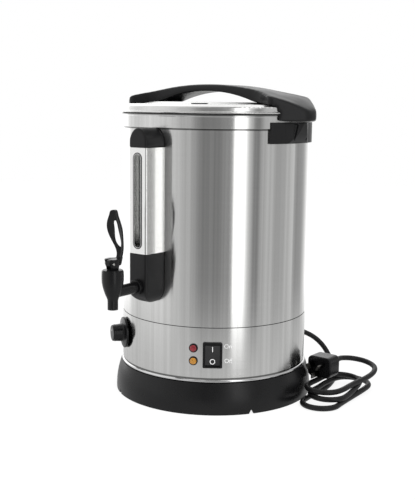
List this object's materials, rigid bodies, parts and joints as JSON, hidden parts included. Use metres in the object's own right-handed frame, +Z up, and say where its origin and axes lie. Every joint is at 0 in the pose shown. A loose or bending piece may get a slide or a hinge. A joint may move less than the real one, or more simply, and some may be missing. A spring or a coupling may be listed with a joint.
{
  "type": "hot water urn",
  "caption": "Steel hot water urn with a lift-off lid under an arched handle, a sight-gauge column, a lever tap, a thermostat knob, a rocker switch and a mains cord tied in a hank.",
  "frame": {"origin": "foot of the vessel axis, on the floor", "axes": "+Z up, the tap faces -Y, the lid handle runs along X"},
  "size_m": [0.302, 0.3597, 0.3742],
  "materials": {
    "brushed_steel": "brushed",
    "bright_steel": "polished",
    "inner_steel": "satin",
    "black_plastic": "moulded, slight sheen",
    "black_gloss": "smooth moulded",
    "tap_plastic": "smooth moulded",
    "clear_tube": "clear",
    "red_lens": "translucent",
    "amber_lens": "translucent",
    "dark_rubber": "matt",
    "silicone": "matt",
    "aluminium": "cast",
    "brass": "plain",
    "zinc_steel": "zinc plated",
    "white_nylon": "moulded",
    "wire_insulation": "extruded",
    "cord_sheath": "smooth"
  },
  "bodies": {
    "vessel": {"base_skirt": "black_plastic", "base_plate": "zinc_steel", "base_screws": "zinc_steel", "rubber_feet": "dark_rubber", "trim_ring": "bright_steel", "housing_band": "brushed_steel", "divider_tray": "black_plastic", "outer_shell": "brushed_steel", "inner_tank": "inner_steel", "tank_stand_ring": "inner_steel", "top_collar": "brushed_steel", "lug_right": "black_plastic", "lug_left": "black_plastic", "lug_rivets": "zinc_steel", "column_cover": "bright_steel", "column_cap": "black_plastic", "column_base": "black_plastic", "gauge_tube": "clear_tube", "gauge_seal_bottom": "silicone", "gauge_seal_top": "silicone", "outlet_spigot": "brass", "tank_nut": "brass", "tank_gasket": "silicone", "column_screws": "zinc_steel", "tap_body": "tap_plastic", "tap_collar": "tap_plastic", "tap_bonnet": "tap_plastic", "lever_pin": "zinc_steel", "thermostat_body": "white_nylon", "thermostat_nut": "zinc_steel", "thermostat_bulb": "brass", "switch_bezel": "black_gloss", "lamp_bodies": "black_gloss", "red_lamp_lens": "red_lens", "amber_lamp_lens": "amber_lens", "heat_plate": "aluminium", "heating_element": "zinc_steel", "boil_dry_cutout": "white_nylon", "terminal_block": "white_nylon", "earth_stud": "brass", "wiring_harness": "wire_insulation", "cord_gland": "black_plastic", "power_cord": "cord_sheath", "cord_hank": "cord_sheath", "plug_body": "black_gloss", "plug_pins": "brass"},
    "lid_seat": {"lid_seal": "silicone"},
    "lid": {"lid_cover": "brushed_steel", "lid_liner": "inner_steel", "lid_handle": "black_plastic", "lid_screws": "zinc_steel", "steam_vent": "black_plastic"},
    "lever": {"tap_lever": "tap_plastic"},
    "plunger": {"tap_stem": "brass", "seat_cup": "silicone", "tap_spring": "zinc_steel"},
    "knob": {"thermostat_knob": "black_gloss", "knob_shaft": "zinc_steel"},
    "rocker": {"switch_rocker": "black_gloss"}
  },
  "joints": [
    {"name": "lid_lift", "type": "slide", "parent": "vessel", "child": "lid_seat", "axis": [0, 0, 1], "range_m": [0, 0.06]},
    {"name": "lid_turn", "type": "hinge", "parent": "lid_seat", "child": "lid", "pos_m": [0, 0, 0.3408], "axis": [0, 0, 1], "range_deg": [0, 30]},
    {"name": "tap_lever_tilt", "type": "hinge", "parent": "vessel", "child": "lever", "pos_m": [0, -0.1877, 0.1794], "axis": [1, 0, 0], "range_deg": [0, 25]},
    {"name": "tap_plunger_lift", "type": "slide", "parent": "vessel", "child": "plunger", "axis": [0, 0, 1], "range_m": [0, 0.0013], "stiffness_N_per_m": 400, "springref_m": -0.005, "deforming": ["tap_spring"]},
    {"name": "knob_turn", "type": "hinge", "parent": "vessel", "child": "knob", "pos_m": [-0.06623, -0.10007, 0.0752], "axis": [0.5519, 0.8339, 0], "range_deg": [0, 270]},
    {"name": "rocker_tilt", "type": "hinge", "parent": "vessel", "child": "rocker", "pos_m": [0.0665, -0.08987, 0.0687], "axis": [0.8039, 0.5948, 0], "range_deg": [0, 14]}
  ],
  "couplings": [
    {"joint": "tap_lever_tilt", "follows": "tap_plunger_lift", "rad_per_m": 330}
  ]
}
